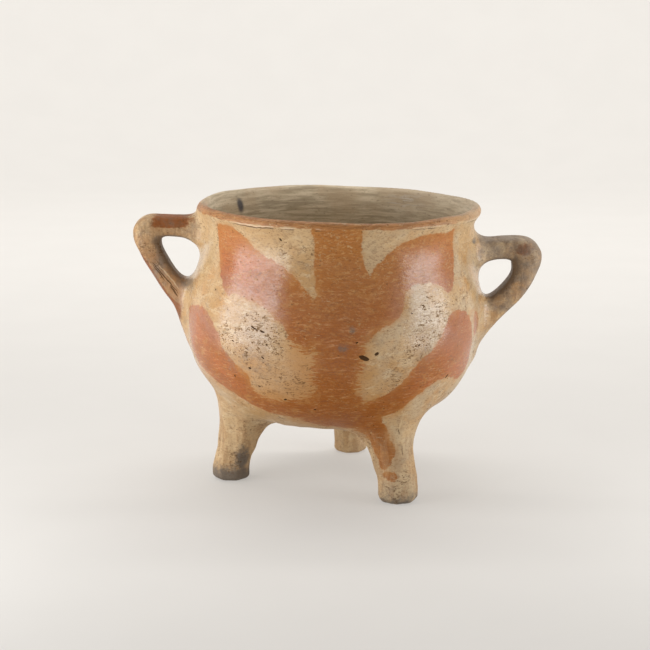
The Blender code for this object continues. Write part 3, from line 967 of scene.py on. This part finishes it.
def orange_slip(g):
    """Iron slip in brushed coats: brighter on the bands, browner where coats cross on the column."""
    low_down = g.fade(g.lip, 42, 84, 0, 0.6)
    low_down *= g.fade(g.to_right, 0.02, 0.05, 1, 0.1)
    brown = g.column + low_down + g.swing(g.noise(14, 4, 0.6, seed=5), 1.6)
    # a painted sheen, a greyish mauve veil over the orange on the shoulder, and a thinner coat up the
    # column and below the lip
    painted_sheen = g.fade(g.lip, 24, 40) * g.fade(g.lip, 78, 60)
    painted_sheen *= g.fade(g.noise(22, 3, 0.6, seed=44), 0.4, 0.58, 0.2, 0.8)
    painted_sheen *= g.fade(g.column, 1, 0.75, 0.15, 1)
    thin_coat = g.fade(g.lip, 62, 6, 0, 0.5) * g.column
    thin_coat = g.most(thin_coat, g.fade(g.lip, 30, 10, 0, 0.45))
    flecks = g.fade(g.noise(3.2, 3, 0.7, 1.8, 34, g.wide), 0.53, 0.66)
    flecks *= g.fade(g.lip, 70, 10, 0.12, 0.6)
    flecks *= g.fade(g.column, 0.2, 0.9, 0.25, 1)
    return g.mix(
        ORANGE,
        (g.fade(brown, 0, 1), ORANGE_BROWN),
        (g.fade(g.noise(8, 4, 0.68, 1.6, 6, g.wide), 0.52, 0.68, 0, 0.6), ORANGE_YELLOW),
        (g.fade(g.streak, 0.55, 0.68, 0, 0.5), STREAK_PALE),
        (g.fade(g.streak, 0.46, 0.34, 0, 0.6), STREAK_DARK),
        (painted_sheen, ORANGE_PAINTED_SHEEN),
        (thin_coat, ORANGE_THIN),
        (flecks, ORANGE_FLECK),
        (g.fade(g.noise(1.4, 2, 0.7, 2, 8), 0.5, 0.68, 0, 0.5), ORANGE_GRAIN),
    )


def painted_slips(g):
    """The colour of the two slips together, and how fully the orange one covers."""
    # the brush's edge: ragged by a hair, and feathered along the strokes low on the front
    ragged = g.swing(g.noise(4.5, 4, 0.7, seed=10), 5)
    where = g.mark("slip") + ragged + g.swing(g.streak, 26) * g.feather
    patchy = g.fade(g.noise(10, 3, 0.6, seed=42), 0.4, 0.6)
    thin_edge = g.fade(where, 5, 0.5, 0, 0.45) * patchy
    halo = g.fade(where, -3.5, -0.5, 0, 0.35) * patchy
    washed = g.fade(g.mark("slip"), -20, -1, 0, 0.62) * g.feather
    cream = g.mix(cream_slip(g), (g.most(washed, halo), ORANGE_YELLOW))
    coat = g.mix(orange_slip(g), (thin_edge, ORANGE_YELLOW))
    gone = g.fade(g.grit, 0.54, 0.68) * g.fade(g.noise(20, 2, seed=13), 0.42, 0.6, 0.1, 0.75)
    painted = g.fade(where, -0.5, 0.7) * (1 - gone)
    painted *= 1 - g.rubbed * 0.22
    return g.mix(cream, (painted, coat)), painted


def cloudy(g, mark, size, amount, low, high, seed):
    """A mark's share, broken up by clouds of this size in mm."""
    cloud = g.swing(g.noise(size, 4, 0.68, seed=seed), amount)
    share = g.fade(g.mark(mark) + cloud, low, high)
    return share * g.fade(g.mark(mark), 0.03, 0.15)


def handled_and_fired(g, colour, painted):
    """The strokes and the slip on the handles and feet, then fire-clouding, sooting and dark mottling, with
    painted shade on the handles' shaded faces.
    """
    mottle = g.fade(g.noise(3.6, 4, 0.7, 0.7, 40, g.fine), 0.44, 0.6)
    mottle = mottle * g.rough * g.fade(g.lip, 104, 118, 0.34, 0.1)
    return g.mix(
        colour,
        (g.upright * 0.5, STROKE_BROWN),
        (g.rubbed * g.fade(painted, 1, 0, 0.06, 0.28), CREAM_PALE),
        (cloudy(g, "earthy", 6, 1.2, 0.1, 0.95, 35), EARTH_BROWN),
        (cloudy(g, "orange", 5, 1.4, 0.35, 0.75, 12), HANDLE_ORANGE),
        # smoke and soot colours, which also paint shade on the handles' faces that turn down or towards the
        # bowl
        (cloudy(g, "smoke_and_shade", 7, 2, 0.1, 1, 14) * 0.82, SMOKE_AND_SHADE_BROWN),
        (cloudy(g, "soot_and_shade", 4, 1.4, 0.25, 0.9, 15) * 0.85, SOOT_AND_SHADE_GREY),
        (mottle, MOTTLE_BROWN),
    )


def inner_wall(g, colour):
    """Inside: grey-brown, brushed and wiped level, darker to the right as painted shade, worn at the back
    and smudged in one place.
    """
    inner = g.mix(
        INNER_GREY,
        (g.fade(g.brushed, 0.38, 0.64), INNER_PALE),
        (g.fade(g.noise(26, 4, 0.6, seed=18), 0.46, 0.66, 0, 0.6), INNER_WARM),
        # painted shade: the inside is darkened towards the right
        (g.fade(g.to_right, 0.015, 0.06, 0, 0.3), INNER_PAINTED_SHADE),
        (g.fade(g.streak, 0.5, 0.62) * g.mark("worn"), INNER_WORN),
        (g.fade(g.grit, 0.56, 0.72, 0, 0.5), INNER_GRIT),
    )
    smudge = g.fade(g.mark("soot_and_shade"), 0.15, 0.8, 0, 0.9) * g.within
    return g.mix(colour, (g.fade(g.inside, 0.2, 1.6), inner), (smudge, SMUDGE_BLACK))


def slip_on_lip(g, colour):
    """The lip's own band of darker slip, less far down on the inside, where there is none at the back."""
    height = g.lip + g.swing(g.noise(7, 3), 3.5)
    reach = SLIP_ON_LIP + g.within * (SLIP_IN_LIP - SLIP_ON_LIP)
    share = g.fade(height - reach, 0.5, -0.5)
    share *= g.fade(g.grit, 0.64, 0.54, 0.45, 0.95)
    share *= g.fade(g.to_right, 0.045, 0.072, 1, 0.45)
    at_back = g.fade(g.towards((0, 1, 0)), -0.03, 0.02)
    share *= 1 - at_back * g.fade(g.inside, 1.3, 2.4)
    return g.mix(colour, (share, g.mix(LIP_LIGHT, (g.fade(g.streak, 0.42, 0.6), LIP_DARK))))


def torn_skin(g, painted):
    """Small pits, grit and fine cracks where the burnishing tore the skin, and the larger pits."""
    crowd = g.fade(g.noise(16, 3, 0.6, seed=9), 0.38, 0.66, 0.22, 0.75)
    crowd += g.pitted * 0.62
    crowd *= 1 - g.within * 0.8
    crowd *= 1 - painted * 0.4
    small = g.dots(1.5, 1.7, 0.92, 0.4, crowd, g.fine)
    tiny = g.dots(3.1, 1.5, 0.42, 0.45, 1, g.wide)
    tiny *= 0.9 - g.within * 0.7
    level = g.noise(6.5, 3, 0.6, 4, 31, g.fine)
    lines = g.fade(g.most(level - 0.5, 0.5 - level), 0.04, 0.016)
    lines *= g.fade(g.noise(3.4, 2, 0.6, seed=32), 0.47, 0.54)
    lines *= g.fade(crowd, 0.4, 0.8)
    return g.most(small, tiny, lines * 0.95), g.dots(5.2, 3, 0.58, 0.56, crowd, g.fine)


def chips_and_grooves(g):
    """The single chips and grooves: those that show dark clay, and the pale ones."""
    crooked = g.bent(3, 0.5)
    inwards = np.array([0, 1, 0])
    dark = pale = 0
    for degrees, height, length, width, lean in CHIPS:
        middle, round_it, up, out = surface_point(degrees, height)
        turn = math.radians(lean)
        along = round_it * math.cos(turn) + up * math.sin(turn)
        across = up * math.cos(turn) - round_it * math.sin(turn)
        dark = g.most(dark, g.spot(middle, (along, across, out), (length, width, CHIP_REACH), crooked))
    for place, lean, length, width, is_pale in GROOVES:
        turn = math.radians(lean)
        along = np.array([math.cos(turn), 0, math.sin(turn)])
        across = np.array([-math.sin(turn), 0, math.cos(turn)])
        sizes = (length, width, GROOVE_REACH)
        groove = g.spot(finished(place), (along, across, inwards), sizes, crooked)
        if is_pale:
            pale = g.most(pale, groove)
        else:
            dark = g.most(dark, groove * 0.8)
    return dark, pale


def crack_under_lip(g):
    """The crack between the lip's coil and the neck, longer on the left than on the right, with painted
    shade in it and a painted highlight along its edge.
    """
    depth = g.lip + g.swing(g.noise(7, 3, 0.6, seed=22), 2)
    left_part = g.fade(g.to_right, -0.004, -0.016) * g.fade(g.to_right, -0.06, -0.052)
    right_part = g.fade(g.to_right, 0.03, 0.042) * 0.6
    share = (left_part + right_part) * (1 - g.within)
    share *= g.fade(g.noise(9, 2, 0.6, seed=33), 0.4, 0.55)
    crack = g.fade(depth, 3.9, 4.2) * g.fade(depth, 4.7, 4.4) * share
    return crack, g.fade(depth, 3, 3.3) * g.fade(depth, 3.9, 3.6) * share


def gloss(g, pits):
    """Burnished on the belly, and dull on the neck, base, handles and feet, inside and in the pits."""
    dull = g.most(g.rough * 0.5, g.within * 0.5, pits * 0.8)
    dull = g.most(dull, g.fade(g.lip, 24, 13, 0, 0.42), g.fade(g.lip, 76, 100, 0, 0.42))
    g.put(g.shader.inputs["Roughness"], g.most(g.fade(g.grit, 0.35, 0.68, 0.15, 0.25), dull))
    g.shader.inputs["Metallic"].default_value = 0
    g.shader.inputs["IOR"].default_value = CLAY_IOR
    shine = g.fade(g.lip, 13, 24, 0.35, 1) * g.fade(g.lip, 72, 98, 1, 0.35)
    stroked = g.noise(12, 4, 0.65, 2, 43, g.wide)
    shine *= g.fade(stroked, 0.36, 0.56, 0.72, 1)
    shine *= g.fade(g.grit, 0.46, 0.62, 1, 0.62)
    shine *= g.fade(g.column, 0.85, 1, 1, 0.72)
    shine = shine * MOST_SHINE * (1 - pits)
    g.put(g.shader.inputs["Specular IOR Level"], shine * (1 - g.rough * 0.45))


def relief(g, large, crack):
    """Grit, strokes and brush marks that stand out, and the larger pits and the crack cut in."""
    height = g.grit * (0.38 + g.rough * 1.3)
    height += g.upright * 0.7 + g.streak * 0.25
    height += g.brushed * g.within * 1.2
    bump = g.add("Bump")
    bump.inputs["Strength"].default_value = 0.6
    bump.inputs["Distance"].default_value = RELIEF_MM * MM
    g.put(bump.inputs["Height"], height - large * 0.6 - crack * 1.5)
    g.put(g.shader.inputs["Normal"], Value(g, bump))


def fired_clay():
    material = bpy.data.materials.new("fired_clay")
    g = Clay(material)
    colour, painted = painted_slips(g)
    colour = slip_on_lip(g, inner_wall(g, handled_and_fired(g, colour, painted)))
    small, large = torn_skin(g, painted)
    chips, pale_grooves = chips_and_grooves(g)
    holes = g.most(large, chips)
    crack, edge = crack_under_lip(g)
    colour = g.mix(
        colour,
        (pale_grooves * 0.5, CREAM_PALE),
        (small * 0.72, PIT_BROWN),
        (holes * 0.93, CHIP_DARK),
        # a painted highlight along the crack's upper edge, and painted shade in the crack
        (edge * 0.55, CRACK_EDGE_HIGHLIGHT),
        (crack * 0.85, CRACK_SHADE),
    )
    g.put(g.shader.inputs["Base Color"], colour)
    gloss(g, g.most(small, holes))
    relief(g, large, crack)
    return material


# Floor, light and camera


def floor():
    """A pale round light table whose edge curves up into a wall."""
    profile = [(0, 0), (0.5, 0), (1, 0), (FLAT_RADIUS, 0)]
    for step in range(1, CURVE_STEPS + 1):
        turn = math.pi / 2 * step / CURVE_STEPS
        across = FLAT_RADIUS + CURVE_RADIUS * math.sin(turn)
        profile.append((across, CURVE_RADIUS * (1 - math.cos(turn))))
    profile.append((FLAT_RADIUS + CURVE_RADIUS, BACKDROP_HEIGHT))
    turns = [2 * math.pi * n / BACKDROP_SIDES for n in range(BACKDROP_SIDES)]
    points = [(r * math.cos(turn), r * math.sin(turn), height) for r, height in profile for turn in turns]
    faces = []
    for ring in range(len(profile) - 1):
        for n in range(BACKDROP_SIDES):
            a = ring * BACKDROP_SIDES + n
            b = ring * BACKDROP_SIDES + (n + 1) % BACKDROP_SIDES
            faces.append((a, b, b + BACKDROP_SIDES, a + BACKDROP_SIDES))
    mesh = bpy.data.meshes.new("backdrop")
    mesh.from_pydata(points, [], faces)
    mesh.shade_smooth()
    material = bpy.data.materials.new("light_table")
    g = Graph(material)
    paler = tuple(1.03 * value for value in TABLE)
    g.put(g.shader.inputs["Base Color"], g.mix(TABLE, (g.fade(g.noise(60, 3), 0.3, 0.7), paler)))
    g.shader.inputs["Roughness"].default_value = 0.75
    g.put(g.shader.inputs["Emission Color"], TABLE_GLOW)
    g.shader.inputs["Emission Strength"].default_value = 1.0
    mesh.materials.append(material)
    made = added("backdrop", mesh)


def softbox(name, place, aim, size, strength, colour=(1, 1, 1)):
    """A rectangular light whose face has this brightness, whatever its size."""
    data = bpy.data.lights.new(name, "AREA")
    data.shape = "RECTANGLE"
    data.size, data.size_y = size
    data.energy = strength * math.pi * size[0] * size[1]
    data.color = colour
    made = added(name, data)
    made.location = place
    made.rotation_euler = (Vector(aim) - Vector(place)).to_track_quat("-Z", "Y").to_euler()
    made.visible_camera = False


def light():
    world = bpy.data.worlds.new("studio")
    world.use_nodes = True
    background = world.node_tree.nodes["Background"]
    background.inputs["Color"].default_value = WORLD_COLOUR
    background.inputs["Strength"].default_value = WORLD_LIGHT
    bpy.context.scene.world = world
    for name, degrees, width, height, strength in SOFTBOXES:
        turn = math.radians(degrees)
        middle = SOFTBOX_LIFT + height / 2
        place = (SOFTBOX_AWAY * math.sin(turn), -SOFTBOX_AWAY * math.cos(turn), middle)
        softbox(name, place, (0.0, 0.0, middle), (width, height), strength, SOFTBOX_COLOUR)
    for values in OTHER_LIGHTS:
        softbox(*values)
    bpy.context.scene.view_settings.view_transform = "Standard"


def camera():
    data = bpy.data.cameras.new("camera")
    data.sensor_width = SENSOR_MM
    data.lens = FOCAL_PIXELS / IMAGE_SIZE * SENSOR_MM
    data.clip_start = 0.05
    data.clip_end = 20.0
    made = added("camera", data)
    made.location = Vector(CAMERA_MM) * MM
    made.rotation_euler = (math.radians(90 - CAMERA_PITCH), 0.0, 0.0)
    bpy.context.scene.camera = made


camera()
light()
floor()
pot = olla()
pot.data.materials.append(fired_clay())
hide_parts("olla")
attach(pot, "root")

bpy.context.view_layer.update()
